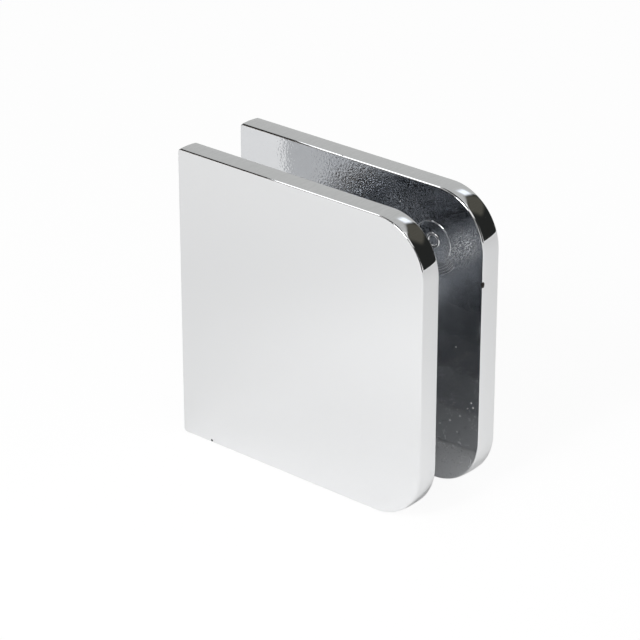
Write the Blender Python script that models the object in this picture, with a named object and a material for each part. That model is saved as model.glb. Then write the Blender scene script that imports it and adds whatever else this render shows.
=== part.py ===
"""Glass U-clamp: a cast and chrome-plated fitting that holds the edge of a glass panel at a wall.

Two square legs stand side by side with a slot for the glass between them. A short web at half
height joins them at the wall end, so the glass passes above and below it. One countersunk wood
screw through the web fixes the clamp to the wall, and two socket set screws in the rear leg press
on the glass. The mouth corners of the legs are rounded, the wall corners are square.

Metres, +Z up. The origin is at the middle of the base: X runs from the wall face to the mouth,
Y from the front leg to the rear leg, and the clamp stands on the lower edges of its legs.
"""
import math

import bmesh
import bpy

# Clamp body
CLAMP_HEIGHT = 0.0508
CLAMP_REACH = 0.0508              # from the wall face to the mouth
LEG_THICKNESS = 0.0039
SLOT_WIDTH = 0.0108
MOUTH_CORNER_RADIUS = 0.0093
WALL_CORNER_RADIUS = 0.0007
EDGE_ROUND = 0.00035              # polished round along every rim of a leg

# Web between the legs
WEB_HEIGHT = 0.0165
WEB_THICKNESS = 0.0060
WEB_CORNER_RADIUS = 0.0012        # along the slot side of the web
WEB_FILLET = 0.0010               # cast fillet where the web runs into a leg

# Hole for the wall screw, a countersunk number 8 wood screw
WALL_HOLE_DIAMETER = 0.0046
COUNTERSINK_DIAMETER = 0.0086
COUNTERSINK_ANGLE = math.radians(82)

# Socket set screws, 10-32 by 1/8 inch with a cup point
SCREW_THREAD_DIAMETER = 0.00483
SCREW_LENGTH = 0.003175
SCREW_SPACING = 0.0190            # between the two screws, along Z
SCREW_FROM_WALL = 0.0368
SCREW_CHAMFER = 0.0003
SOCKET_ACROSS_FLATS = 0.00238
SOCKET_DEPTH = 0.0014
SOCKET_DRILL_POINT = 0.0003
CUP_DIAMETER = 0.0026
CUP_DEPTH = 0.0006
CUP_TIP_DIAMETER = 0.0003
TAPPED_HOLE_CHAMFER = 0.00025
THREAD_CLEARANCE = 0.0003

# Round casting mark on the slot face of the rear leg
MARK_DIAMETER = 0.0070
MARK_CENTRE_DIAMETER = 0.0022
MARK_RIDGE_WIDTH = 0.00045
MARK_RIDGE_HEIGHT = 0.00012
MARK_FROM_MOUTH = 0.0102
MARK_FROM_TOP = 0.0097

# How finely the round stretches are divided
MOUTH_CORNER_STEPS = 24
WALL_CORNER_STEPS = 4
EDGE_STEPS = 4
FILLET_STEPS = 5
HOLE_STEPS = 32
MARK_STEPS = 48
RIDGE_STEPS = 4
HEXAGON_SIDES = 6

# What follows from the sizes above
WALL_X = -CLAMP_REACH / 2
MOUTH_X = CLAMP_REACH / 2
MIDDLE_Z = CLAMP_HEIGHT / 2
SLOT_FACE_Y = SLOT_WIDTH / 2
OUTER_FACE_Y = SLOT_FACE_Y + LEG_THICKNESS
CUT_PAST = 0.001                  # how far a cutter runs past the face it opens
SMOOTH_ANGLE = math.radians(35)


def remove_old_objects():
    for old in list(bpy.data.objects):
        bpy.data.objects.remove(old, do_unlink=True)


def metal(name, colour, roughness):
    material = bpy.data.materials.new(name)
    material.use_nodes = True
    shader = material.node_tree.nodes["Principled BSDF"]
    shader.inputs["Base Color"].default_value = (*colour, 1.0)
    shader.inputs["Metallic"].default_value = 1.0
    shader.inputs["Roughness"].default_value = roughness
    return material


def loft(rings):
    """A closed mesh through rings of equally many points, with a flat cap on each end."""
    shape = bmesh.new()
    loops = [[shape.verts.new(point) for point in ring] for ring in rings]
    for lower, upper in zip(loops, loops[1:]):
        for i in range(len(lower)):
            j = (i + 1) % len(lower)
            shape.faces.new((lower[i], lower[j], upper[j], upper[i]))
    shape.faces.new(reversed(loops[0]))
    shape.faces.new(loops[-1])
    bmesh.ops.recalc_face_normals(shape, faces=shape.faces)
    return shape


def place(shape, name, material=None, location=(0, 0, 0)):
    """Turn a bmesh into an object with smooth round stretches and crisp edges."""
    mesh = bpy.data.meshes.new(name)
    shape.to_mesh(mesh)
    shape.free()
    mesh.shade_smooth()
    mesh.set_sharp_from_angle(angle=SMOOTH_ANGLE)
    if material:
        mesh.materials.append(material)
    thing = bpy.data.objects.new(name, mesh)
    thing.location = location
    bpy.context.scene.collection.objects.link(thing)
    return thing


def combine(target, tool, operation):
    """Join a helper to the target, or cut the target with it, and put the helper out of sight."""
    tool.hide_render = True
    tool.display_type = "WIRE"
    tool.parent = target.parent
    step = target.modifiers.new(f"{operation.lower()} {tool.name}", "BOOLEAN")
    step.operation = operation
    step.solver = "EXACT"
    step.object = tool


def arc(centre, radius, start_degrees, steps):
    """Points of a quarter circle in the XZ plane, counter-clockwise seen from the front."""
    points = []
    for i in range(steps + 1):
        turn = math.radians(start_degrees + 90 * i / steps)
        points.append((centre[0] + radius * math.cos(turn), centre[1] + radius * math.sin(turn)))
    return points


def side_outline(wall_x, far_x, low_z, high_z, wall_radius, far_radius, far_steps):
    """A rectangle seen from the front, with one radius on its wall corners and one on the others."""
    wall_radius = max(wall_radius, EDGE_ROUND / 10)
    near = wall_x + wall_radius
    far = far_x - far_radius
    outline = arc((far, low_z + far_radius), far_radius, 270, far_steps)
    outline += arc((far, high_z - far_radius), far_radius, 0, far_steps)
    outline += arc((near, high_z - wall_radius), wall_radius, 90, WALL_CORNER_STEPS)
    outline += arc((near, low_z + wall_radius), wall_radius, 180, WALL_CORNER_STEPS)
    return outline


def leg_outline(inset):
    return side_outline(WALL_X + inset, MOUTH_X - inset, inset, CLAMP_HEIGHT - inset,
                        WALL_CORNER_RADIUS - inset, MOUTH_CORNER_RADIUS - inset, MOUTH_CORNER_STEPS)


def edge_rounding():
    """How far in from the face and from the rim each ring of a rounded edge lies."""
    for i in range(EDGE_STEPS + 1):
        turn = math.pi / 2 * i / EDGE_STEPS
        yield EDGE_ROUND * (1 - math.cos(turn)), EDGE_ROUND * (1 - math.sin(turn))


def leg(low_y):
    """A flat leg with all of its rims rounded, from low_y towards the rear."""
    high_y = low_y + LEG_THICKNESS
    low_side = [(low_y + depth, inset) for depth, inset in edge_rounding()]
    high_side = [(high_y - depth, inset) for depth, inset in edge_rounding()]
    sections = low_side + high_side[::-1]
    return loft([[(x, y, z) for x, z in leg_outline(inset)] for y, inset in sections])


def web():
    """The block that joins the legs. It flares into both, and its ends are buried in them."""
    buried = LEG_THICKNESS / 2
    half = [(SLOT_FACE_Y + buried, WEB_FILLET)]
    for i in range(FILLET_STEPS + 1):
        turn = math.pi / 2 * i / FILLET_STEPS
        half.append((SLOT_FACE_Y - WEB_FILLET * (1 - math.cos(turn)), WEB_FILLET * (1 - math.sin(turn))))
    sections = half + [(-y, flare) for y, flare in reversed(half)]
    rings = []
    for y, flare in sections:
        reach = WEB_HEIGHT / 2 + flare
        outline = side_outline(WALL_X, WALL_X + WEB_THICKNESS + flare, MIDDLE_Z - reach, MIDDLE_Z + reach,
                               EDGE_ROUND, WEB_CORNER_RADIUS + flare, FILLET_STEPS)
        rings.append([(x, y, z) for x, z in outline])
    return loft(rings)


def circle(radius, steps):
    """Points of a circle about 0, 0, as pairs."""
    turns = [2 * math.pi * i / steps for i in range(steps)]
    return [(radius * math.cos(turn), radius * math.sin(turn)) for turn in turns]


def turned_on_y(profile, steps):
    """A solid of revolution about the Y axis, from pairs of a place on the axis and a radius."""
    return loft([[(x, y, z) for x, z in circle(radius, steps)] for y, radius in profile])


def wall_hole():
    """Cutter for the wall screw: a clear hole with a countersink in the slot side of the web."""
    web_face = WALL_X + WEB_THICKNESS
    hole_radius = WALL_HOLE_DIAMETER / 2
    sink_radius = COUNTERSINK_DIAMETER / 2
    slope = math.tan(COUNTERSINK_ANGLE / 2)
    sink_depth = (sink_radius - hole_radius) / slope
    profile = [
        (WALL_X - CUT_PAST, hole_radius),
        (web_face - sink_depth, hole_radius),
        (web_face, sink_radius),
        (web_face + CUT_PAST, sink_radius),
    ]
    return loft([[(x, y, MIDDLE_Z + z) for y, z in circle(radius, HOLE_STEPS)] for x, radius in profile])


def tapped_hole():
    """Cutter for a tapped hole through the rear leg, chamfered on both faces, about its own axis."""
    radius = SCREW_THREAD_DIAMETER / 2
    half = LEG_THICKNESS / 2
    wide = radius + TAPPED_HOLE_CHAMFER + CUT_PAST
    profile = [
        (-half - CUT_PAST, wide),
        (-half + TAPPED_HOLE_CHAMFER, radius),
        (half - TAPPED_HOLE_CHAMFER, radius),
        (half + CUT_PAST, wide),
    ]
    return turned_on_y(profile, HOLE_STEPS)


def mark_ridge(diameter):
    """A low round ridge on the slot face of the rear leg, its foot buried in the leg."""
    foot_y = SLOT_FACE_Y + MARK_RIDGE_HEIGHT
    section = [(diameter / 2 + MARK_RIDGE_WIDTH / 2, foot_y)]
    for i in range(RIDGE_STEPS + 1):
        turn = math.pi * i / RIDGE_STEPS
        across = diameter / 2 + MARK_RIDGE_WIDTH / 2 * math.cos(turn)
        section.append((across, SLOT_FACE_Y - MARK_RIDGE_HEIGHT * math.sin(turn)))
    section.append((diameter / 2 - MARK_RIDGE_WIDTH / 2, foot_y))
    shape = bmesh.new()
    centre_x = MOUTH_X - MARK_FROM_MOUTH
    centre_z = CLAMP_HEIGHT - MARK_FROM_TOP
    rings = []
    for radius, y in section:
        ring = [(centre_x + x, y, centre_z + z) for x, z in circle(radius, MARK_STEPS)]
        rings.append([shape.verts.new(point) for point in ring])
    for near, far in zip(rings, rings[1:] + rings[:1]):
        for i in range(MARK_STEPS):
            j = (i + 1) % MARK_STEPS
            shape.faces.new((near[i], near[j], far[j], far[i]))
    bmesh.ops.recalc_face_normals(shape, faces=shape.faces)
    return shape


def screw_places():
    """Name and height of each set screw."""
    yield "upper", MIDDLE_Z + SCREW_SPACING / 2
    yield "lower", MIDDLE_Z - SCREW_SPACING / 2


def screw_axis(height):
    """Where the middle of a set screw lies: halfway through the rear leg."""
    return (WALL_X + SCREW_FROM_WALL, (SLOT_FACE_Y + OUTER_FACE_Y) / 2, height)


def set_screw():
    """A plain set screw about its own axis, its cup point towards the glass at -Y."""
    half = SCREW_LENGTH / 2
    radius = SCREW_THREAD_DIAMETER / 2 - THREAD_CLEARANCE
    profile = [
        (-half + CUP_DEPTH, CUP_TIP_DIAMETER / 2),
        (-half, CUP_DIAMETER / 2),
        (-half, radius - SCREW_CHAMFER),
        (-half + SCREW_CHAMFER, radius),
        (half - SCREW_CHAMFER, radius),
        (half, radius - SCREW_CHAMFER),
    ]
    return turned_on_y(profile, HOLE_STEPS)


def hex_socket():
    """Cutter for the hexagon socket in the outer end of a set screw."""
    half = SCREW_LENGTH / 2
    corner = SOCKET_ACROSS_FLATS / math.sqrt(3)
    profile = [
        (half + CUT_PAST, corner),
        (half - SOCKET_DEPTH, corner),
        (half - SOCKET_DEPTH - SOCKET_DRILL_POINT, corner / 10),
    ]
    return turned_on_y(profile, HEXAGON_SIDES)


def build_body(parent):
    """Both legs, the web and the mark cast as one piece, with the drilled and tapped holes."""
    chrome = metal("polished_chrome", (0.76, 0.77, 0.78), 0.05)
    body = place(leg(-OUTER_FACE_Y), "clamp_body", chrome)
    body.parent = parent
    combine(body, place(leg(SLOT_FACE_Y), "stock_rear_leg"), "UNION")
    combine(body, place(web(), "stock_web"), "UNION")
    combine(body, place(mark_ridge(MARK_DIAMETER), "stock_mark_rim"), "UNION")
    combine(body, place(mark_ridge(MARK_CENTRE_DIAMETER), "stock_mark_centre"), "UNION")
    combine(body, place(wall_hole(), "cut_wall_hole"), "DIFFERENCE")
    for name, height in screw_places():
        cutter = place(tapped_hole(), f"cut_tapped_hole_{name}", location=screw_axis(height))
        combine(body, cutter, "DIFFERENCE")


def build_set_screws(parent):
    steel = metal("set_screw_steel", (0.48, 0.48, 0.50), 0.28)
    for name, height in screw_places():
        screw = place(set_screw(), f"set_screw_{name}", steel, screw_axis(height))
        screw.parent = parent
        socket = place(hex_socket(), f"cut_socket_{name}", location=screw_axis(height))
        combine(screw, socket, "DIFFERENCE")


def main():
    remove_old_objects()
    clamp = bpy.data.objects.new("glass_u_clamp", None)
    clamp.empty_display_size = CLAMP_REACH / 4
    bpy.context.scene.collection.objects.link(clamp)
    build_body(clamp)
    build_set_screws(clamp)


main()
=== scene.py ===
# %% [markdown]
# # A chrome clamp for a glass panel
#
# This lesson dresses a small U-shaped clamp: two square legs with a slot between them, cast in
# one piece, polished outside and chrome-plated all over. The solid model is loaded as a fixed
# frame, and the looks are built around it.

# %% Load the frame
import math

import bpy
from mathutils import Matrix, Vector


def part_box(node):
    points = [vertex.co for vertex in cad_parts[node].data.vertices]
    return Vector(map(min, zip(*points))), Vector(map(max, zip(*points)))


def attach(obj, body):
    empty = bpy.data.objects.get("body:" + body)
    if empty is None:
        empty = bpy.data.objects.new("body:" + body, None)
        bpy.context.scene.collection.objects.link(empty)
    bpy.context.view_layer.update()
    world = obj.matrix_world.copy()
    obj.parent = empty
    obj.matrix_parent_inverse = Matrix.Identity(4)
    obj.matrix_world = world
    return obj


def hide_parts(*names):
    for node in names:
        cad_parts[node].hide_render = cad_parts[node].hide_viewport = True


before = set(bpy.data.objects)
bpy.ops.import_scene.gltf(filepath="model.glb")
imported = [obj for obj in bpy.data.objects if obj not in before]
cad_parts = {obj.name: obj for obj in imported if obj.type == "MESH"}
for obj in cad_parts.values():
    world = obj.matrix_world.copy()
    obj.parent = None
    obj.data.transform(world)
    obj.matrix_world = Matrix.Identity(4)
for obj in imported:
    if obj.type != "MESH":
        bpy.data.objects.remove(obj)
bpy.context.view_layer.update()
bpy.ops.object.select_all(action="DESELECT")
low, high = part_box("clamp_body")
for end, corner in (("low", low), ("high", high)):
    print("the clamp body's", end, "corner is at", [round(v * 1000, 2) for v in corner], "mm")

# %% [markdown]
# ## Sizes
#
# The outer sizes come from the frame. The rest are the sizes that a maker's drawing would give.
# Everything is in metres, so a millimetre is written as MM.

# %% Sizes of the casting
MM = 0.001
WALL_X, MOUTH_X = low.x, high.x
FRONT_Y, REAR_Y = low.y, high.y
TOP_Z = high.z
MIDDLE_Z = TOP_Z / 2
LEG_THICKNESS = 3.9 * MM
SLOT_FRONT_Y = FRONT_Y + LEG_THICKNESS
SLOT_REAR_Y = REAR_Y - LEG_THICKNESS
MOUTH_CORNER_RADIUS = 9.3 * MM
WALL_CORNER_RADIUS = 0.8 * MM
print("slot", round((SLOT_REAR_Y - SLOT_FRONT_Y) / MM, 2), "mm wide")

# %% [markdown]
# ## Helpers for modelling by hand
#
# Each piece starts as a primitive and is shaped with edit-mode operators. An operator acts on
# all that is selected, so these helpers select by place or direction first. A piece's place is
# moved into its mesh at once, so that its object stays at the origin.


# %% Add a box between two corners
def settle(piece, name):
    """Name the piece and move its place, turn and size into its mesh."""
    piece.name = name
    piece.data.name = name
    bpy.ops.object.transform_apply(location=True, rotation=True, scale=True)
    return piece


def add_box(name, x_range, y_range, z_range):
    ranges = (x_range, y_range, z_range)
    bpy.ops.object.select_all(action="DESELECT")
    bpy.ops.mesh.primitive_cube_add(
        size=1,
        location=[(a + b) / 2 for a, b in ranges],
        scale=[b - a for a, b in ranges],
    )
    return settle(bpy.context.object, name)


# %% Select edges or faces by a test, then run an edit-mode operator
def make_active(piece):
    bpy.ops.object.select_all(action="DESELECT")
    piece.select_set(True)
    bpy.context.view_layer.objects.active = piece


def clear_selection(piece, kind):
    """Make the piece active, choose what edit mode selects, and deselect its whole mesh."""
    make_active(piece)
    bpy.context.tool_settings.mesh_select_mode = [kind == k for k in ("VERT", "EDGE", "FACE")]
    for group in (piece.data.vertices, piece.data.edges, piece.data.polygons):
        group.foreach_set("select", [False] * len(group))


def select_edges(piece, test):
    """Select the edges whose two end points pass the test."""
    mesh = piece.data
    clear_selection(piece, "EDGE")
    chosen = 0
    for edge in mesh.edges:
        a, b = (mesh.vertices[i].co for i in edge.vertices)
        edge.select = bool(test(a, b))
        chosen += edge.select
    return chosen


def bevel_edges(piece, test, width, segments):
    chosen = select_edges(piece, test)
    bpy.ops.object.mode_set(mode="EDIT")
    bpy.ops.mesh.bevel(
        offset=width,
        segments=segments,
        profile=0.5,
        affect="EDGES",
        clamp_overlap=False,
    )
    bpy.ops.object.mode_set(mode="OBJECT")
    print(piece.name, "bevelled", chosen, "edges by", round(width / MM, 2), "mm")


# %% Small tests on the two ends of an edge, and how square to an axis a face has to be
NEAR = 0.001 * MM
FACING = 0.9


def both_at(a, b, axis, value):
    return abs(a[axis] - value) < NEAR and abs(b[axis] - value) < NEAR


def runs_along(a, b, axis):
    others = [i for i in range(3) if i != axis]
    return all(abs(a[i] - b[i]) < NEAR for i in others)


# %% [markdown]
# ## The two legs
#
# Each leg is a flat slab with its mouth corners rounded to 9.3 mm. The edge all round it was
# ground by hand against a soft wheel. That leaves a slight crown across the edge, a round that
# starts wide and tightens towards each face, and a shallow roll-off where the wheel ran out over
# the face. The outer faces were buffed afterwards, so their rounds are tighter than the ones in
# the slot. A thin slice of the leg is modelled first, with its corners bevelled. Each side of the
# slice is then inset and pushed out in short steps, which draws the arcs of that section. Many
# segments go into the big corners, because a mirror finish shows every flat.

# %% The section of a leg's edge
X, Y, Z = 0, 1, 2
CORNER_SEGMENTS = 48
ARC_SEGMENTS = 6
EDGE_CROWN = 6
EDGE_ROUNDS = ((0.42 * MM, 45), (0.18 * MM, 87))
FLAT_MARGIN = 0.05 * MM


def edge_section(softness, roll_off_width):
    """How far in, and how far from the leg's middle, the edge runs from its crown to a face.

    The arcs turn from the edge's own direction, 0 degrees, to the face's, 90 degrees.
    """
    arcs = []
    start = math.radians(EDGE_CROWN)
    for radius, end in EDGE_ROUNDS:
        arcs.append((softness * radius, start, math.radians(end)))
        start = math.radians(end)
    arcs.append((roll_off_width / math.cos(start), start, math.pi / 2))
    reach = sum(radius * (math.sin(end) - math.sin(start)) for radius, start, end in arcs)
    crown = math.radians(EDGE_CROWN)
    arcs.insert(0, ((LEG_THICKNESS / 2 - reach) / math.sin(crown), 0.0, crown))
    inward, along = 0.0, 0.0
    steps = []
    for radius, start, end in arcs:
        for i in range(1, ARC_SEGMENTS + 1):
            turn = start + (end - start) * i / ARC_SEGMENTS
            steps.append((
                inward + radius * (math.cos(start) - math.cos(turn)),
                along + radius * (math.sin(turn) - math.sin(start)),
            ))
        inward, along = steps[-1]
    steps.append((inward + FLAT_MARGIN, along))
    return steps


OUTER_SOFTNESS, OUTER_ROLL_OFF = 0.75, 0.35 * MM
SLOT_SOFTNESS, SLOT_ROLL_OFF = 1.0, 0.20 * MM
outer_edge = edge_section(OUTER_SOFTNESS, OUTER_ROLL_OFF)
slot_edge = edge_section(SLOT_SOFTNESS, SLOT_ROLL_OFF)
crown_depth = max(edge[ARC_SEGMENTS - 1][0] for edge in (outer_edge, slot_edge))
for edge_name, edge in (("outer", outer_edge), ("slot", slot_edge)):
    print("the", edge_name, "face starts", round(edge[-2][0] / MM, 3), "mm in from its edge")


# %% Model the legs
def add_leg(name, front_y, front_edge, rear_edge):
    middle = front_y + LEG_THICKNESS / 2
    leg = add_box(
        name,
        (WALL_X - crown_depth, MOUTH_X),
        (middle - front_edge[0][1], middle + rear_edge[0][1]),
        (0, TOP_Z),
    )
    for corner_x, radius, segments in (
        (MOUTH_X, MOUTH_CORNER_RADIUS, CORNER_SEGMENTS),
        (WALL_X - crown_depth, WALL_CORNER_RADIUS, 2 * ARC_SEGMENTS),
    ):
        bevel_edges(
            leg,
            lambda a, b: runs_along(a, b, Y) and both_at(a, b, X, corner_x),
            radius,
            segments,
        )
    for side, edge in ((-1, front_edge), (1, rear_edge)):
        clear_selection(leg, "FACE")
        for face in leg.data.polygons:
            face.select = face.normal.y * side > FACING
        bpy.ops.object.mode_set(mode="EDIT")
        for (was_in, was_out), (to_in, to_out) in zip(edge, edge[1:]):
            bpy.ops.mesh.inset(
                thickness=to_in - was_in,
                depth=to_out - was_out,
                use_even_offset=True,
            )
        bpy.ops.object.mode_set(mode="OBJECT")
    ends = [round(end(v.co.y for v in leg.data.vertices) / MM, 3) for end in (min, max)]
    print(name, "spans y", ends, "mm")
    return leg


front_leg = add_leg("front_leg", FRONT_Y, outer_edge, slot_edge)
rear_leg = add_leg("rear_leg", SLOT_REAR_Y, slot_edge, outer_edge)

# %% [markdown]
# ## The web
#
# A short block at half height joins the legs at the wall end, so that the glass can run to the
# wall above and below it. Where it meets a leg the mould had a small fillet. The block is
# modelled between the legs, and its two ends are then extruded in short steps that grow like a
# quarter circle, and a last step that buries them in the legs.

# %% Model the web
WEB_HEIGHT = 16.5 * MM
WEB_THICKNESS = 6.0 * MM
WEB_CORNER_RADIUS = 1.2 * MM
WEB_FILLET = 1.0 * MM
FILLET_SEGMENTS = 8
WEB_FACE_X = WALL_X + WEB_THICKNESS
WALL_ALLOWANCE = crown_depth / 2
FILLET_BITE = 0.01 * MM
web = add_box(
    "web",
    (WALL_X - WALL_ALLOWANCE, WEB_FACE_X),
    (SLOT_FRONT_Y + WEB_FILLET - FILLET_BITE, SLOT_REAR_Y - WEB_FILLET + FILLET_BITE),
    (MIDDLE_Z - WEB_HEIGHT / 2, MIDDLE_Z + WEB_HEIGHT / 2),
)
bevel_edges(
    web,
    lambda a, b: runs_along(a, b, Y) and both_at(a, b, X, WEB_FACE_X),
    WEB_CORNER_RADIUS,
    FILLET_SEGMENTS,
)


# %% Grow both ends of the web into the legs
def fillet_steps():
    """Pairs of a distance from the end of the plain block and the growth there."""
    for i in range(1, FILLET_SEGMENTS + 1):
        turn = math.pi / 2 * i / FILLET_SEGMENTS
        yield WEB_FILLET * math.sin(turn), WEB_FILLET * (1 - math.cos(turn))
    yield WEB_FILLET + LEG_THICKNESS / 2, WEB_FILLET


def grow_end(piece, side):
    """Extrude the end cap on one side (-1 front, 1 rear), a step at a time."""
    clear_selection(piece, "FACE")
    for face in piece.data.polygons:
        face.select = face.normal.y * side > FACING and face.center.y * side > 0
    bpy.ops.object.mode_set(mode="EDIT")
    thick = WEB_THICKNESS + WALL_ALLOWANCE
    pivot = (WALL_X - WALL_ALLOWANCE, 0, MIDDLE_Z)
    went, grown = 0.0, 0.0
    for along, growth in fillet_steps():
        step = (0, side * (along - went), 0)
        bpy.ops.mesh.extrude_region_move(TRANSFORM_OT_translate={"value": step})
        wide = (thick + growth) / (thick + grown)
        tall = (WEB_HEIGHT + 2 * growth) / (WEB_HEIGHT + 2 * grown)
        bpy.ops.transform.resize(value=(wide, 1, tall), center_override=pivot)
        went, grown = along, growth
    bpy.ops.object.mode_set(mode="OBJECT")


grow_end(web, -1)
grow_end(web, 1)
print("web now reaches from y", round(min(v.co.y for v in web.data.vertices) / MM, 2), "mm")

# %% [markdown]
# ## One casting
#
# Legs and web are one piece of metal, so they are joined with a union. Where the web meets a leg
# only the fillet remains. The side that lies on the wall is then cut flat, as it was machined.
# Every cutter, here and below, reaches a millimetre past the surface, so that it leaves no skin.


# %% Join and cut with booleans
CUT_PAST = 1.0 * MM
WALL_CUT_DEPTH = 2 * MM


def combine(target, tool, operation):
    make_active(target)
    step = target.modifiers.new(operation.lower(), "BOOLEAN")
    step.operation = operation
    step.solver = "EXACT"
    step.object = tool
    bpy.ops.object.modifier_apply(modifier=step.name)
    bpy.data.objects.remove(tool)


casting = front_leg
casting.name = "clamp_casting"
combine(casting, rear_leg, "UNION")
combine(casting, web, "UNION")
wall_cut = add_box(
    "wall_cut",
    (WALL_X - WALL_CUT_DEPTH, WALL_X),
    (FRONT_Y - CUT_PAST, REAR_Y + CUT_PAST),
    (-CUT_PAST, TOP_Z + CUT_PAST),
)
combine(casting, wall_cut, "DIFFERENCE")
print("casting has", len(casting.data.polygons), "faces")

# %% [markdown]
# ## Holes
#
# A countersunk hole through the web takes the wall screw. Two tapped holes in the rear leg take
# the set screws. Each cutter is turned: a disc is pushed out along its axis in stretches, and
# scaled where the hole widens.

# %% A turned solid
WALL_HOLE_RADIUS = 2.3 * MM
COUNTERSINK_RADIUS = 4.3 * MM
COUNTERSINK_ANGLE = math.radians(82)
HOLE_SEGMENTS = 64


def add_turned(name, profile, axis, centre, sides=HOLE_SEGMENTS):
    """A solid turned about X or Y. The profile lists places along the axis with their radii."""
    bpy.ops.object.select_all(action="DESELECT")
    bpy.ops.mesh.primitive_circle_add(vertices=sides, radius=profile[0][1], fill_type="NGON")
    piece = bpy.context.object
    bpy.ops.object.mode_set(mode="EDIT")
    bpy.ops.mesh.select_all(action="SELECT")
    for (start, radius), (end, next_radius) in zip(profile, profile[1:]):
        step = (0, 0, end - start)
        bpy.ops.mesh.extrude_region_move(TRANSFORM_OT_translate={"value": step})
        grow = next_radius / radius
        if grow != 1:
            pivot = (0, 0, end - profile[0][0])
            bpy.ops.transform.resize(value=(grow, grow, 1), center_override=pivot)
    bpy.ops.mesh.select_all(action="SELECT")
    bpy.ops.mesh.normals_make_consistent(inside=False)
    bpy.ops.object.mode_set(mode="OBJECT")
    if axis == X:
        piece.rotation_euler = (0, math.pi / 2, 0)
        piece.location = (profile[0][0], centre[1], centre[2])
    else:
        piece.rotation_euler = (-math.pi / 2, 0, 0)
        piece.location = (centre[0], profile[0][0], centre[2])
    return settle(piece, name)


# %% Cut the wall screw's hole
sink_depth = (COUNTERSINK_RADIUS - WALL_HOLE_RADIUS) / math.tan(COUNTERSINK_ANGLE / 2)
wall_hole = add_turned(
    "wall_hole",
    [
        (WALL_X - CUT_PAST, WALL_HOLE_RADIUS),
        (WEB_FACE_X - sink_depth, WALL_HOLE_RADIUS),
        (WEB_FACE_X, COUNTERSINK_RADIUS),
        (WEB_FACE_X + CUT_PAST, COUNTERSINK_RADIUS),
    ],
    X,
    (0, 0, MIDDLE_Z),
)
combine(casting, wall_hole, "DIFFERENCE")
print("countersink is", round(sink_depth / MM, 2), "mm deep")

# %% [markdown]
# ## Threads
#
# A screw thread is a ridge that climbs by one pitch in each turn. A turned rod with many rows of
# points is made first. Each point is then moved in or out by a ramp that repeats once a pitch, and
# that starts a little later round the rod, which draws the helix. The screws slide here instead of
# turning, so the thread in the hole lies just outside the reach of the thread on the screw.

# %% Shape a thread on a rod along Y
THREADS_PER_INCH = 32
THREAD_PITCH = 25.4 / THREADS_PER_INCH * MM
ROWS_PER_TURN = 12
CREST_SHARE = 0.25


def thread_height(phase):
    """From 0 in the root to 1 on the crest, with a small flat on both."""
    ramp = abs(2 * (phase % 1) - 1)
    return min(1, max(0, (ramp - CREST_SHARE / 2) / (1 - CREST_SHARE)))


def add_threaded(name, centre, start, end, root, crest, limit):
    """A rod with a helical thread. The limit gives the radius allowed or kept at a place on Y."""
    rows = math.ceil((end - start) / THREAD_PITCH * ROWS_PER_TURN)
    profile = [(start + (end - start) * i / rows, crest) for i in range(rows + 1)]
    rod = add_turned(name, profile, Y, centre)
    for point in rod.data.vertices:
        across, up = point.co.x - centre[0], point.co.z - centre[2]
        turn = math.atan2(across, up) / (2 * math.pi)
        radius = root + (crest - root) * thread_height(point.co.y / THREAD_PITCH - turn)
        share = limit(radius, point.co.y) / math.hypot(across, up)
        point.co.x, point.co.z = centre[0] + across * share, centre[2] + up * share
    rod.data.update()
    return rod


# %% Cut the tapped holes
TAPPED_RADIUS = 2.39 * MM
TAPPED_ROOT_RADIUS = 2.62 * MM
TAPPED_CHAMFER = 0.25 * MM
screws = {}
for name in ("upper", "lower"):
    screw_low, screw_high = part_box(f"set_screw_{name}")
    screws[name] = (screw_low, screw_high, (screw_low + screw_high) / 2)


def widened_at_faces(radius, y):
    """The hole's chamfer at both faces of the rear leg."""
    depth = min(y - SLOT_REAR_Y, REAR_Y - y)
    return max(radius, TAPPED_ROOT_RADIUS + TAPPED_CHAMFER - depth)


for name, (_, _, centre) in screws.items():
    tap = add_threaded(
        f"tap_{name}",
        centre,
        SLOT_REAR_Y - CUT_PAST,
        REAR_Y + CUT_PAST,
        TAPPED_RADIUS,
        TAPPED_ROOT_RADIUS,
        widened_at_faces,
    )
    combine(casting, tap, "DIFFERENCE")
    print("tapped hole", name, "at", [round(v / MM, 2) for v in centre], "mm")

# %% [markdown]
# ## The casting mark
#
# Near the top mouth corner of the rear leg's slot face the mould left a thin raised ring, with a
# smaller one inside it. Each is a ring of round section, half sunk into the face and flattened.
# Below the mark the wax pattern has rippled. Each ripple is what a box keeps of such a ring. All
# that stands out of the face is kept in a list, and joins the casting later, in one step.

# %% Model the casting mark
MARK_CENTRE = (MOUTH_X - 10.2 * MM, TOP_Z - 9.7 * MM)
MARK_RADIUS = 3.5 * MM
MARK_SECTION = 0.13 * MM
INNER_MARK_CENTRE = (MARK_CENTRE[0] + 0.1 * MM, MARK_CENTRE[1] + 0.4 * MM)
INNER_MARK_RADIUS = 1.05 * MM
INNER_MARK_SECTION = 0.26 * MM
MARK_FLATNESS = 0.7


def add_mark(name, centre, radius, section):
    """A flattened ring on the slot's rear face. The section is the radius of its round section."""
    bpy.ops.object.select_all(action="DESELECT")
    bpy.ops.mesh.primitive_torus_add(
        location=(centre[0], SLOT_REAR_Y, centre[1]),
        rotation=(math.pi / 2, 0, 0),
        major_radius=radius,
        minor_radius=section,
        major_segments=96,
        minor_segments=16,
    )
    ring = bpy.context.object
    ring.scale = (1, 1, MARK_FLATNESS)
    return settle(ring, name)


relief = [
    add_mark("mark_rim", MARK_CENTRE, MARK_RADIUS, MARK_SECTION),
    add_mark("mark_middle", INNER_MARK_CENTRE, INNER_MARK_RADIUS, INNER_MARK_SECTION),
]
print("casting mark is", round(2 * MARK_RADIUS / MM, 1), "mm across")

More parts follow.
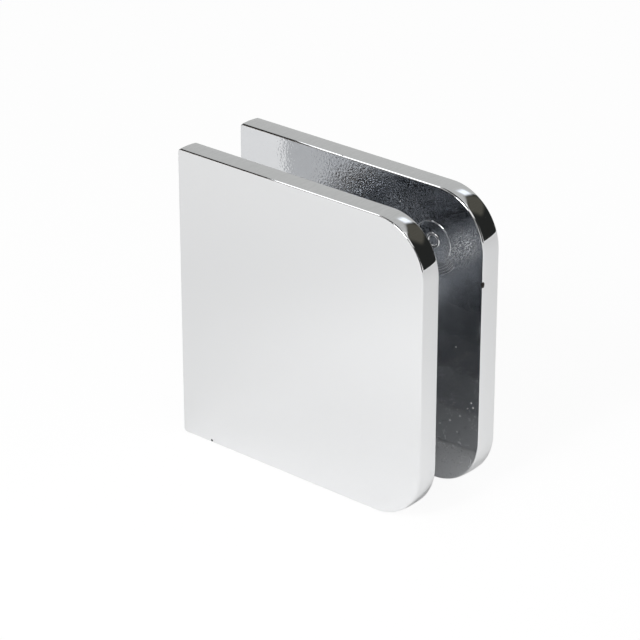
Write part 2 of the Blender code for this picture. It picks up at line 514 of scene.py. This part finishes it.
# %% Add the ripples below the mark
RIPPLE_RADII = (3.95 * MM, 4.35 * MM, 4.80 * MM, 5.20 * MM)
RIPPLE_SECTION = 0.17 * MM
RIPPLE_REACH = 6 * MM
# How far to the right of the mark's middle and below it a ripple starts, in millimetres, and how
# much further each next one does.
RIPPLE_START = (1.3, 1.9)
RIPPLE_SHIFT = (0.15, 0.35)
for i, radius in enumerate(RIPPLE_RADII):
    ripple = add_mark(f"ripple_{i}", MARK_CENTRE, radius, RIPPLE_SECTION)
    right, down = ((start + shift * i) * MM for start, shift in zip(RIPPLE_START, RIPPLE_SHIFT))
    corner = add_box(
        "ripple_corner",
        (MARK_CENTRE[0] + right, MARK_CENTRE[0] + RIPPLE_REACH),
        (SLOT_REAR_Y - CUT_PAST, SLOT_REAR_Y + CUT_PAST),
        (MARK_CENTRE[1] - RIPPLE_REACH, MARK_CENTRE[1] - down),
    )
    combine(ripple, corner, "INTERSECT")
    relief.append(ripple)
print("made", len(RIPPLE_RADII), "ripples")

# %% [markdown]
# ## Small blemishes
#
# The clamp isn't perfect. A nick is knocked out of the rear leg's mouth edge, the rim above the
# slot has a small step, and a pit shows at the foot of the front leg. Each is cut with a small
# rough ball. In the slot a few pimples of the mould stand out of the skin, as tiny half balls.
# They join the casting together with the mark.

# %% Cut the nick, the step and the pit
BALL_TURN = (0.4, 0.7, 0.2)
JUST_INSIDE = 0.999
BLEMISHES = {
    "nick": (
        (MOUTH_X - 0.10 * MM, SLOT_REAR_Y + 0.08 * MM, 36.7 * MM),
        (0.40 * MM, 0.30 * MM, 0.54 * MM),
    ),
    "step": (
        (-3.5 * MM, SLOT_REAR_Y + 0.10 * MM, TOP_Z - 0.02 * MM),
        (0.30 * MM, 0.22 * MM, 0.14 * MM),
    ),
    "pit": (
        (WALL_X + 6.4 * MM, FRONT_Y, 0.45 * MM),
        (0.24 * MM, 0.16 * MM, 0.20 * MM),
    ),
}


def add_ball(name, centre, radii):
    """A ball of flat faces, turned first, so that its three radii stay along X, Y and Z."""
    bpy.ops.object.select_all(action="DESELECT")
    bpy.ops.mesh.primitive_ico_sphere_add(subdivisions=2, radius=1, rotation=BALL_TURN)
    ball = settle(bpy.context.object, name)
    ball.scale = radii
    ball.location = centre
    return settle(ball, name)


def inside_blemish(point):
    """Whether a point lies on or in one of the balls that cut the blemishes."""
    for centre, radii in BLEMISHES.values():
        if sum(((p - c) / r) ** 2 for p, c, r in zip(point, centre, radii)) < JUST_INSIDE:
            return True
    return False


for name, (centre, radii) in BLEMISHES.items():
    combine(casting, add_ball(name, centre, radii), "DIFFERENCE")
    print("cut a", name, "at", [round(v / MM, 2) for v in centre], "mm")

# %% Raise the mark, the ripples and the pimples
PIMPLE_FLATNESS = 0.7
PIMPLES = [
    (x * MM, z * MM, radius * MM)
    for x, z, radius in (
        (17.4, 10.2, 0.11),
        (19.4, 11.4, 0.14),
        (21.4, 12.8, 0.12),
        (20.9, 9.8, 0.10),
        (24.0, 15.1, 0.15),
        (23.6, 15.8, 0.11),
        (22.9, 14.6, 0.10),
        (14.2, 27.5, 0.11),
        (20.3, 24.6, 0.11),
        (8.6, 46.2, 0.10),
    )
]
for i, (x, z, radius) in enumerate(PIMPLES):
    radii = (radius, PIMPLE_FLATNESS * radius, radius)
    relief.append(add_ball(f"pimple_{i}", (x, SLOT_REAR_Y, z), radii))
print("the relief has", len(relief), "pieces")
make_active(relief[0])
for piece in relief:
    piece.select_set(True)
bpy.ops.object.join()
combine(casting, relief[0], "UNION")

# %% [markdown]
# ## Smooth mirror surfaces
#
# A mirror finish shows every fault in the shading. Faces that meet at less than 30 degrees are
# shaded smooth, but the borders of the blemishes are marked sharp, so that they bend nothing
# around them. The big flats are then selected, one direction at a time, and lend their own normal
# to the points at their borders. So they stay truly flat and only the rounds bend the reflections.

# %% Shade the casting
SMOOTH_ANGLE = math.radians(30)
FLAT_AREA = 20 * MM * MM
TRUE_FLAT = 0.9999
make_active(casting)
bpy.ops.object.shade_smooth_by_angle(angle=SMOOTH_ANGLE)
clear_selection(casting, "FACE")
for face in casting.data.polygons:
    face.select = inside_blemish(face.center)
bpy.ops.object.mode_set(mode="EDIT")
bpy.ops.mesh.region_to_loop()
bpy.ops.mesh.mark_sharp()
bpy.ops.object.mode_set(mode="OBJECT")
flats = 0
for axis in (X, Y, Z):
    clear_selection(casting, "FACE")
    for face in casting.data.polygons:
        face.select = face.area > FLAT_AREA and abs(face.normal[axis]) > TRUE_FLAT
        flats += face.select
    bpy.ops.object.mode_set(mode="EDIT")
    bpy.ops.mesh.set_normals_from_faces(keep_sharp=True)
    bpy.ops.object.mode_set(mode="OBJECT")
print("casting has", len(casting.data.polygons), "faces, of which", flats, "are flats")

# %% [markdown]
# ## Chrome
#
# The plating is the same everywhere, but the metal under it isn't. The flat faces were buffed to a
# near-perfect mirror. The edges were ground across, which left faint lines under the polish. No
# wheel reaches into the slot, so there the plating follows the skin of the casting: an orange peel
# that breaks up the reflections. Each finish is a material of its own, and all patterns are worked
# out from the place on the clamp, in metres.


# %% Small helpers for materials
def new_metal(name, colour, roughness):
    material = bpy.data.materials.new(name)
    material.use_nodes = True
    shader = material.node_tree.nodes["Principled BSDF"]
    shader.inputs["Base Color"].default_value = (*colour, 1)
    shader.inputs["Metallic"].default_value = 1.0
    shader.inputs["Roughness"].default_value = roughness
    return material, shader


def add_place(tree):
    """The X, Y and Z of a point on the clamp, in metres."""
    place = tree.nodes.new("ShaderNodeTexCoord")
    split = tree.nodes.new("ShaderNodeSeparateXYZ")
    tree.links.new(place.outputs["Object"], split.inputs["Vector"])
    return split.outputs


def add_noise(tree, size, stretch=(1, 1, 1), detail=2.0):
    """Noise on the clamp's own coordinates. The stretch multiplies the size along each axis."""
    place = tree.nodes.new("ShaderNodeTexCoord")
    mapping = tree.nodes.new("ShaderNodeMapping")
    mapping.inputs["Scale"].default_value = [1 / (size * s) for s in stretch]
    noise = tree.nodes.new("ShaderNodeTexNoise")
    noise.inputs["Scale"].default_value = 1.0
    noise.inputs["Detail"].default_value = detail
    tree.links.new(place.outputs["Object"], mapping.inputs["Vector"])
    tree.links.new(mapping.outputs["Vector"], noise.inputs["Vector"])
    return noise.outputs["Fac"]


def add_math(tree, operation, *values, clamp=False):
    node = tree.nodes.new("ShaderNodeMath")
    node.operation = operation
    node.use_clamp = clamp
    for socket, value in zip(node.inputs, values):
        if isinstance(value, (int, float)):
            socket.default_value = value
        else:
            tree.links.new(value, socket)
    return node.outputs["Value"]


def add_range(tree, value, from_low, from_high, to_low=0.0, to_high=1.0, smooth=False):
    node = tree.nodes.new("ShaderNodeMapRange")
    node.interpolation_type = "SMOOTHSTEP" if smooth else "LINEAR"
    limits = {"From Min": from_low, "From Max": from_high, "To Min": to_low, "To Max": to_high}
    for name, number in limits.items():
        node.inputs[name].default_value = number
    tree.links.new(value, node.inputs["Value"])
    return node.outputs["Result"]


def add_bump(tree, shader, layers):
    """Stack bumps. A layer is a height from 0 to 1 and the metres that it stands for."""
    normal = None
    for height, distance in layers:
        bump = tree.nodes.new("ShaderNodeBump")
        bump.inputs["Strength"].default_value = 1.0
        bump.inputs["Distance"].default_value = distance
        tree.links.new(height, bump.inputs["Height"])
        if normal:
            tree.links.new(normal, bump.inputs["Normal"])
        normal = bump.outputs["Normal"]
    tree.links.new(normal, shader.inputs["Normal"])


def add_tint(tree, shader, factor, first, second):
    mix = tree.nodes.new("ShaderNodeMix")
    mix.data_type = "RGBA"
    colours = [socket for socket in mix.inputs if socket.type == "RGBA"]
    for socket, colour in zip(colours, (first, second)):
        socket.default_value = (*colour, 1)
    tree.links.new(factor, mix.inputs["Factor"])
    result = [socket for socket in mix.outputs if socket.type == "RGBA"][0]
    tree.links.new(result, shader.inputs["Base Color"])


# %% Buffed faces
polished, shader = new_metal("polished_chrome", (0.76, 0.765, 0.77), 0.04)
tree = polished.node_tree
haze = add_noise(tree, 9 * MM, detail=3.0)
tree.links.new(add_range(tree, haze, 0.35, 0.70, 0.035, 0.075), shader.inputs["Roughness"])
wave = add_noise(tree, 14 * MM, detail=0.0)
add_bump(tree, shader, [(wave, 0.010 * MM)])
print(polished.name, "has", len(tree.nodes), "nodes")

# %% Ground edges
ground, shader = new_metal("ground_chrome", (0.76, 0.765, 0.77), 0.03)
tree = ground.node_tree
lines_kept = add_range(tree, add_place(tree)["Z"], 43 * MM, 49 * MM, 0.08, 1.0, smooth=True)
grind_lines = add_noise(tree, 0.16 * MM, stretch=(1, 12, 1), detail=2.0)
lines_left = add_math(tree, "MULTIPLY", add_math(tree, "SUBTRACT", grind_lines, 0.5), lines_kept)
tree.links.new(add_range(tree, lines_left, -0.15, 0.15, 0.02, 0.05), shader.inputs["Roughness"])
line_tint = add_range(tree, lines_left, -0.2, 0.2)
add_tint(tree, shader, line_tint, (0.725, 0.73, 0.735), (0.795, 0.80, 0.805))
wave = add_noise(tree, 5 * MM, detail=0.0)
add_bump(tree, shader, [(wave, 0.012 * MM), (lines_left, 0.0004 * MM)])
print(ground.name, "has", len(tree.nodes), "nodes")

# %% [markdown]
# ## The cast skin
#
# Three things break up the slot's faces. The orange peel is strongest towards the top of the wall
# end, where the metal entered the mould, and fades towards the foot and the mouth. Fine dust lies
# in clumps, most of it low down. A pitted streak crosses the skin beside the mark, where it turns
# dull. The streak is local, so it gets a mask: a Mapping node of the Texture kind moves an ellipse
# to the middle of the coordinates, and the distance from there tells how far in a point is.


# %% A mask for a local pattern
PATCH_DEPTH = 2 * MM


def add_patch(tree, centre, turn, radii):
    """1 in the middle of an ellipse on the slot's rear face, falling to 0 at its border."""
    place = tree.nodes.new("ShaderNodeTexCoord")
    mapping = tree.nodes.new("ShaderNodeMapping")
    mapping.vector_type = "TEXTURE"
    mapping.inputs["Location"].default_value = (centre[0], SLOT_REAR_Y, centre[1])
    mapping.inputs["Rotation"].default_value = (0, -math.radians(turn), 0)
    mapping.inputs["Scale"].default_value = (radii[0], PATCH_DEPTH, radii[1])
    length = tree.nodes.new("ShaderNodeVectorMath")
    length.operation = "LENGTH"
    tree.links.new(place.outputs["Object"], mapping.inputs["Vector"])
    tree.links.new(mapping.outputs["Vector"], length.inputs[0])
    return add_range(tree, length.outputs["Value"], 1.0, 0.0, smooth=True)


# %% Orange peel and the lines of the mould's draw
cast, shader = new_metal("cast_chrome", (0.70, 0.705, 0.72), 0.03)
tree = cast.node_tree
place = add_place(tree)
low_share = add_range(tree, place["Z"], 12 * MM, 34 * MM, 0.25, 1.0, smooth=True)
mouth_share = add_range(tree, place["X"], 8 * MM, -1 * MM, 0.08, 1.0, smooth=True)
peel_share = add_math(tree, "MULTIPLY", low_share, mouth_share)
peel = add_math(tree, "MULTIPLY", add_noise(tree, 0.42 * MM, detail=1.0), peel_share)
swell = add_noise(tree, 2.6 * MM, detail=0.0)
draw_lines = add_noise(tree, 0.22 * MM, stretch=(1, 1, 14), detail=1.0)

# %% The pitted streak
STREAK_CENTRE = (20.7 * MM, 41.3 * MM)
STREAK_TURN = 42
STREAK_RADII = (7.6 * MM, 3.6 * MM)
streak = add_patch(tree, STREAK_CENTRE, STREAK_TURN, STREAK_RADII)
grain = add_noise(tree, 0.17 * MM, detail=0.0)
pitted = add_math(tree, "MULTIPLY", streak, add_range(tree, grain, 0.46, 0.62))
grain = add_math(tree, "MULTIPLY", grain, add_range(tree, streak, 0, 1, 0.03, 1.0))

# %% Dust
clumps = add_range(tree, add_noise(tree, 2.2 * MM, detail=1.0), 0.42, 0.62, 0.15, 1.0)
specks = add_range(tree, add_noise(tree, 0.24 * MM, detail=1.0), 0.58, 0.70)
dust_share = add_range(tree, place["Z"], 30 * MM, 16 * MM, 0.06, 0.60, smooth=True)
dust = add_math(tree, "MULTIPLY", specks, add_math(tree, "MULTIPLY", clumps, dust_share))

# %% Gloss, colour and relief of the cast skin
DULL_ROUGHNESS = 0.35
DULL_METALLIC = 0.45
stains = add_noise(tree, 4.5 * MM, detail=3.0)
dull = add_math(tree, "MAXIMUM", pitted, dust)
foot_haze = add_range(tree, low_share, 0.25, 1, 0.05, 0)
roughness = add_range(tree, stains, 0.35, 0.7, 0.02, 0.045)
roughness = add_math(tree, "ADD", roughness, foot_haze)
roughness = add_math(tree, "ADD", roughness, add_math(tree, "MULTIPLY", dull, DULL_ROUGHNESS))
tree.links.new(roughness, shader.inputs["Roughness"])
tree.links.new(add_range(tree, dull, 0, 1, 1.0, DULL_METALLIC), shader.inputs["Metallic"])
add_tint(tree, shader, stains, (0.69, 0.70, 0.715), (0.72, 0.73, 0.745))
add_bump(tree, shader, [
    (swell, 0.014 * MM),
    (peel, 0.032 * MM),
    (draw_lines, 0.0004 * MM),
    (grain, 0.0100 * MM),
])
print(cast.name, "has", len(tree.nodes), "nodes")

# %% [markdown]
# ## Painted shade in the cuts, and frosted spots
#
# The nick, the step and the pit are painted near black with a crumbly grain, which is painted
# shade in these small cuts. The plating on the pimples has stayed rough, so they look frosted.
# Both spots could be painted with a mask, but their faces are already there, so each face simply
# gets the finish of its place: a few tests on its middle find it, from the smallest spots to the
# large faces.

# %% Painted shade in the nick, the step and the pit
# A near-black colour with a crumbly grain: painted shade in the nick, the step and the pit.
blemish_shade, shader = new_metal("painted_shade_in_cuts", (0.05, 0.048, 0.045), 0.55)
tree = blemish_shade.node_tree
crumble = add_noise(tree, 0.08 * MM, detail=2.0)
tree.links.new(add_range(tree, crumble, 0.3, 0.7, 0.45, 0.7), shader.inputs["Roughness"])
add_tint(tree, shader, crumble, (0.02, 0.019, 0.018), (0.09, 0.085, 0.08))
add_bump(tree, shader, [(crumble, 0.02 * MM)])
print(blemish_shade.name, "has", len(tree.nodes), "nodes")

# %% Frosted plating on the pimples
frosted, shader = new_metal("frosted_chrome", (0.80, 0.805, 0.81), 0.45)

# %% Tell which finish a face has
POLISHED, GROUND, CAST, PAINTED_SHADE, FROSTED = range(5)
INSIDE = 0.05 * MM
RAISED = 0.3 * MM
INNER_MARK_MARGIN = 1.5
OUTER_FLAT = 0.999


def raised_near(point, x, z, radius):
    """Whether a point stands out of the slot's rear face within a radius of a place on it."""
    stands_out = SLOT_REAR_Y - RAISED < point.y < SLOT_REAR_Y - NEAR
    return stands_out and math.hypot(point.x - x, point.z - z) < radius


def finish_of(face):
    middle = face.center
    # The faces in the nick, the step and the pit get the painted shade.
    if inside_blemish(middle):
        return PAINTED_SHADE
    if any(raised_near(middle, *pimple) for pimple in PIMPLES):
        return FROSTED
    if raised_near(middle, *INNER_MARK_CENTRE, INNER_MARK_MARGIN * INNER_MARK_RADIUS):
        return GROUND
    if middle.x < WALL_X + INSIDE:
        return GROUND
    if SLOT_FRONT_Y - INSIDE < middle.y < SLOT_REAR_Y + INSIDE:
        return CAST
    return POLISHED if abs(face.normal.y) > OUTER_FLAT else GROUND


# %% Give each face its finish
casting.data.materials.clear()
for material in (polished, ground, cast, blemish_shade, frosted):
    casting.data.materials.append(material)
for face in casting.data.polygons:
    face.material_index = finish_of(face)
for index, material in enumerate(casting.data.materials):
    count = sum(face.material_index == index for face in casting.data.polygons)
    print(material.name, "covers", count, "faces")
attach(casting, "clamp")
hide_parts("clamp_body")

# %% [markdown]
# ## Set screws
#
# A socket set screw is a short threaded rod with no head. The end that grips has a cup, and the
# other end a hexagonal socket. Both ends are chamfered down to the root of the thread. The rod is
# threaded in the same way as the holes, and the cup and the socket are cut with turned tools; a
# turned solid with only six sides is a hexagon. The steel is duller than the chrome, and fine
# tool marks run round it.

# %% Model a set screw
SCREW_CREST_RADIUS = 2.35 * MM
SCREW_ROOT_RADIUS = 1.92 * MM
SOCKET_ACROSS_FLATS = 2.38 * MM
SOCKET_DEPTH = 1.4 * MM
SOCKET_TIP = 0.5 * MM
CUP_RADIUS = 1.3 * MM
CUP_DEPTH = 0.55 * MM
CUP_RIM = 0.12 * MM
POINT_RADIUS = 0.02 * MM
# The lead-in of the socket: places from the end of the screw, with radii beyond the corners.
LEAD_IN = ((-0.12 * MM, -0.14 * MM), (CUT_PAST, 0.98 * MM))
SCREW_SMOOTH_ANGLE = math.radians(35)


def add_set_screw(name, low, high, centre):
    cup_end, socket_end = low.y, high.y

    def chamfered(radius, y):
        at_cup = CUP_RADIUS + CUP_RIM + (y - cup_end)
        at_socket = SCREW_ROOT_RADIUS + (socket_end - y)
        return min(radius, at_cup, at_socket)

    screw = add_threaded(
        name,
        centre,
        cup_end,
        socket_end,
        SCREW_ROOT_RADIUS,
        SCREW_CREST_RADIUS,
        chamfered,
    )
    cup = [
        (cup_end - CUT_PAST, CUP_RADIUS * (1 + CUT_PAST / CUP_DEPTH)),
        (cup_end, CUP_RADIUS),
        (cup_end + CUP_DEPTH, POINT_RADIUS),
    ]
    combine(screw, add_turned("cup_cutter", cup, Y, centre), "DIFFERENCE")
    corner_radius = SOCKET_ACROSS_FLATS / math.sqrt(3)
    floor_y = socket_end - SOCKET_DEPTH
    socket = [
        (floor_y - SOCKET_TIP, POINT_RADIUS),
        (floor_y, corner_radius),
        (socket_end + CUT_PAST, corner_radius),
    ]
    combine(screw, add_turned("socket_cutter", socket, Y, centre, sides=6), "DIFFERENCE")
    lead_in = [(socket_end + along, corner_radius + wider) for along, wider in LEAD_IN]
    combine(screw, add_turned("lead_in_cutter", lead_in, Y, centre), "DIFFERENCE")
    make_active(screw)
    bpy.ops.object.shade_smooth_by_angle(angle=SCREW_SMOOTH_ANGLE)
    return screw


# %% Steel for the set screws
steel, shader = new_metal("set_screw_steel", (0.48, 0.48, 0.50), 0.28)
tree = steel.node_tree
tool_marks = add_noise(tree, 0.35 * MM, stretch=(1, 0.3, 1), detail=3.0)
tree.links.new(add_range(tree, tool_marks, 0.3, 0.7, 0.20, 0.40), shader.inputs["Roughness"])
add_tint(tree, shader, tool_marks, (0.42, 0.41, 0.41), (0.54, 0.54, 0.56))
add_bump(tree, shader, [(tool_marks, 0.003 * MM)])
print(steel.name, "has", len(tree.nodes), "nodes")

# %% Put the set screws in
for name, (screw_low, screw_high, centre) in screws.items():
    screw = add_set_screw(f"socket_screw_{name}", screw_low, screw_high, centre)
    screw.data.materials.clear()
    screw.data.materials.append(steel)
    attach(screw, f"{name}_screw")
    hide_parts(f"set_screw_{name}")
    print(screw.name, "has", len(screw.data.polygons), "faces")

# %% [markdown]
# ## Studio
#
# The photograph has a pure white ground. The table and the sky are white for the camera, and the
# table keeps a trace of the clamp's shadow. A mirror shows the room it stands in, so the room is
# built too, of cards that only the metal sees. Behind the clamp are a grey wall with a lamp on
# it, and a dark doorway with an olive wall in it. To the left a dark room stands before a bright
# window, which shows as a ring round it, and a grey wall shows at the room's far end. Dark rooms
# lie to the right and behind the camera, with brown shelves between, and a ceiling closes the
# top. Two of the dark cards also dim the sky's light on the table.


# %% Show one surface or another
def mix_surfaces(tree, share, first, second, output):
    """Show the first shader where the share is 0 and the second where it is 1."""
    mix = tree.nodes.new("ShaderNodeMixShader")
    tree.links.new(share, mix.inputs["Fac"])
    tree.links.new(first, mix.inputs[1])
    tree.links.new(second, mix.inputs[2])
    tree.links.new(mix.outputs["Shader"], output.inputs["Surface"])


# %% White table
TABLE_SIZE = 6
WHITE_SHARE = 0.93
bpy.ops.object.select_all(action="DESELECT")
bpy.ops.mesh.primitive_plane_add(size=TABLE_SIZE)
table = bpy.context.object
table.name = "table"
paper = bpy.data.materials.new("white_paper")
paper.use_nodes = True
tree = paper.node_tree
tree.nodes.clear()
output = tree.nodes.new("ShaderNodeOutputMaterial")
diffuse = tree.nodes.new("ShaderNodeBsdfDiffuse")
diffuse.inputs["Color"].default_value = (0.9, 0.9, 0.9, 1)
glow = tree.nodes.new("ShaderNodeEmission")
glow.inputs["Color"].default_value = (1, 1, 1, 1)
rays = tree.nodes.new("ShaderNodeLightPath").outputs
seen = add_math(tree, "MULTIPLY", rays["Is Camera Ray"], WHITE_SHARE)
mix_surfaces(tree, seen, diffuse.outputs["BSDF"], glow.outputs["Emission"], output)
table.data.materials.append(paper)
print("the table is", TABLE_SIZE, "m wide")

# %% White sky
SKY_LIGHT = 1.17
world = bpy.data.worlds.new("studio")
bpy.context.scene.world = world
world.use_nodes = True
tree = world.node_tree
tree.nodes.clear()
output = tree.nodes.new("ShaderNodeOutputWorld")
white = tree.nodes.new("ShaderNodeBackground")
white.inputs["Color"].default_value = (1, 1, 1, 1)
soft_light = tree.nodes.new("ShaderNodeBackground")
soft_light.inputs["Color"].default_value = (1, 1, 1, 1)
soft_light.inputs["Strength"].default_value = SKY_LIGHT
rays = tree.nodes.new("ShaderNodeLightPath").outputs
shown = rays["Is Camera Ray"]
for ray in ("Is Glossy Ray", "Is Transmission Ray"):
    shown = add_math(tree, "ADD", shown, rays[ray], clamp=True)
mix_surfaces(tree, shown, soft_light.outputs["Background"], white.outputs["Background"], output)
print("the sky lights the clamp with a strength of", SKY_LIGHT)


# %% Cards that only the metal sees
def direction(azimuth, elevation):
    """A unit vector. Azimuth 0 is away from the camera's side, along +Y, and 90 is along +X."""
    a, e = math.radians(azimuth), math.radians(elevation)
    return (math.sin(a) * math.cos(e), math.cos(a) * math.cos(e), math.sin(e))


def edge_fade(tree, soft):
    """1 inside the card, fading to 0 over a share of its width and height at the border."""
    place = tree.nodes.new("ShaderNodeTexCoord")
    split = tree.nodes.new("ShaderNodeSeparateXYZ")
    tree.links.new(place.outputs["UV"], split.inputs["Vector"])
    fades = []
    for share, socket in zip(soft, ("X", "Y")):
        offset = add_math(tree, "SUBTRACT", split.outputs[socket], 0.5)
        from_middle = add_math(tree, "ABSOLUTE", offset)
        fades.append(add_range(tree, from_middle, 0.5, 0.5 - share / 2, 0, 1, smooth=True))
    return add_math(tree, "MULTIPLY", *fades)


def card_material(name, colour, soft):
    """The card's own light, which fades out towards its border where that is soft."""
    material = bpy.data.materials.new(name)
    material.use_nodes = True
    tree = material.node_tree
    tree.nodes.clear()
    output = tree.nodes.new("ShaderNodeOutputMaterial")
    surface = tree.nodes.new("ShaderNodeEmission")
    surface.inputs["Color"].default_value = (*colour, 1)
    light = surface.outputs["Emission"]
    if soft:
        clear = tree.nodes.new("ShaderNodeBsdfTransparent").outputs["BSDF"]
        mix_surfaces(tree, edge_fade(tree, soft), clear, light, output)
    else:
        tree.links.new(light, output.inputs["Surface"])
    return material


def add_card(name, azimuth, elevation, width, height, distance, colour, soft=None, dims=False):
    """A bright or dark card, as the clamp sees it: its direction and size are in degrees.

    It is a rectangle where it has a soft border, and a disc where it has none.
    """
    bpy.ops.object.select_all(action="DESELECT")
    if soft:
        bpy.ops.mesh.primitive_plane_add(size=1)
    else:
        bpy.ops.mesh.primitive_circle_add(vertices=64, radius=0.5, fill_type="NGON")
    card = bpy.context.object
    card.location = [distance * v for v in direction(azimuth, elevation)]
    card.scale = (
        2 * distance * math.tan(math.radians(width / 2)),
        2 * distance * math.tan(math.radians(height / 2)),
        1,
    )
    card.rotation_euler = (math.radians(90 + elevation), 0, math.radians(-azimuth))
    settle(card, name)
    card.data.materials.append(card_material(name, colour, soft))
    card.visible_camera = False
    card.visible_diffuse = dims
    card.visible_shadow = False


# %% The round cards of the room
ROUND_CARDS = (
    # name, azimuth, elevation, width, distance, colour, whether it dims the light on the table
    ("dark_room_left", -90, 0, 102.4, 1.9, (0.025, 0.027, 0.03), True),
    ("far_wall_left", -90, 0, 88, 1.8, (0.26, 0.265, 0.27), False),
    ("window_left", -90, 0, 116, 2.2, (2.1, 2.13, 2.17), False),
    ("ceiling", 0, 90, 62, 1.8, (0.06, 0.06, 0.06), True),
)
for name, azimuth, elevation, width, distance, colour, dims in ROUND_CARDS:
    add_card(name, azimuth, elevation, width, width, distance, colour, dims=dims)
print("the room has", len(ROUND_CARDS), "round cards")

# %% The soft cards of the room
SOFT_CARDS = (
    # name, azimuth, elevation, width, height, distance, colour, soft share of width and height
    ("grey_wall", -22, 30, 60, 66, 1.7, (0.57, 0.575, 0.57), (0.10, 0.04)),
    ("dark_doorway", 31, 23, 58, 58, 1.5, (0.022, 0.023, 0.022), (0.10, 0.12)),
    ("olive_wall", 20, 40, 38, 26, 1.4, (0.092, 0.088, 0.074), (0.5, 0.5)),
    ("lamp", -10, 43, 18, 12, 1.3, (1.25, 1.32, 1.42), (0.8, 0.7)),
    ("dark_room_right", 98, 22, 66, 46, 1.6, (0.05, 0.05, 0.05), (0.15, 0.15)),
    ("dark_room_behind", 180, 25, 56, 56, 1.7, (0.06, 0.06, 0.06), (0.15, 0.15)),
    ("brown_shelves", -136, 19, 30, 48, 1.5, (0.085, 0.060, 0.035), (0.15, 0.06)),
)
for card in SOFT_CARDS:
    add_card(*card)
print("the room has", len(SOFT_CARDS), "soft cards")

# %% [markdown]
# ## Lamps
#
# The sky's light is even, and real light isn't. A soft key lamp in front gives the shadow and the
# dull spots their side, and a narrow spot lights the table before the foot, which the polished
# edge there mirrors.


# %% Add a lamp that looks at a point
def add_lamp(kind, name, azimuth, elevation, distance, energy, aim=(0, 0, 0)):
    bpy.ops.object.select_all(action="DESELECT")
    place = [a + distance * v for a, v in zip(aim, direction(azimuth, elevation))]
    bpy.ops.object.light_add(type=kind, location=place)
    lamp = bpy.context.object
    lamp.name = name
    lamp.data.energy = energy
    lamp.rotation_euler = (math.radians(90 - elevation), 0, math.radians(180 - azimuth))
    print(name, "stands at", [round(v, 3) for v in place], "m")
    return lamp.data


# %% Key lamp and foot lamp
key = add_lamp("AREA", "key_lamp", azimuth=178, elevation=38, distance=0.50, energy=1.08)
key.shape = "DISK"
key.size = 0.20
FOOT_AIM = (8 * MM, -22 * MM, 0)
foot = add_lamp("SPOT", "foot_lamp", 176, 40, distance=0.35, energy=1.2, aim=FOOT_AIM)
foot.spot_size = math.radians(26)
foot.spot_blend = 1.0
foot.shadow_soft_size = 0.02

# %% [markdown]
# ## Camera
#
# The view is the photograph's: from the front and the mouth side, 25 degrees above the table,
# with a long lens. The place and the lens were worked out from the edges of both legs.

# %% Camera
CAMERA_PLACE = (0.2705, -0.3145, 0.2184)
CAMERA_AZIMUTH = 41.05
CAMERA_ELEVATION = 25.0
CAMERA_LENS = 160.67
camera_data = bpy.data.cameras.new("camera")
camera_data.lens = CAMERA_LENS
camera_data.sensor_width = 36
camera_data.clip_start = 0.01
camera = bpy.data.objects.new("camera", camera_data)
camera.location = CAMERA_PLACE
camera.rotation_euler = (math.radians(90 - CAMERA_ELEVATION), 0, math.radians(CAMERA_AZIMUTH))
bpy.context.scene.collection.objects.link(camera)
bpy.context.scene.camera = camera
print("the camera is", round(math.hypot(*CAMERA_PLACE), 3), "m from the middle of the foot")

# %% [markdown]
# ## Light that bounces
#
# In the slot two mirrors face each other, so the light may bounce more often than usual.

# %% Rendering
BOUNCES = 24
scene = bpy.context.scene
scene.view_settings.view_transform = "Standard"
scene.cycles.max_bounces = BOUNCES
scene.cycles.glossy_bounces = BOUNCES

# %% Update the scene
bpy.context.view_layer.update()
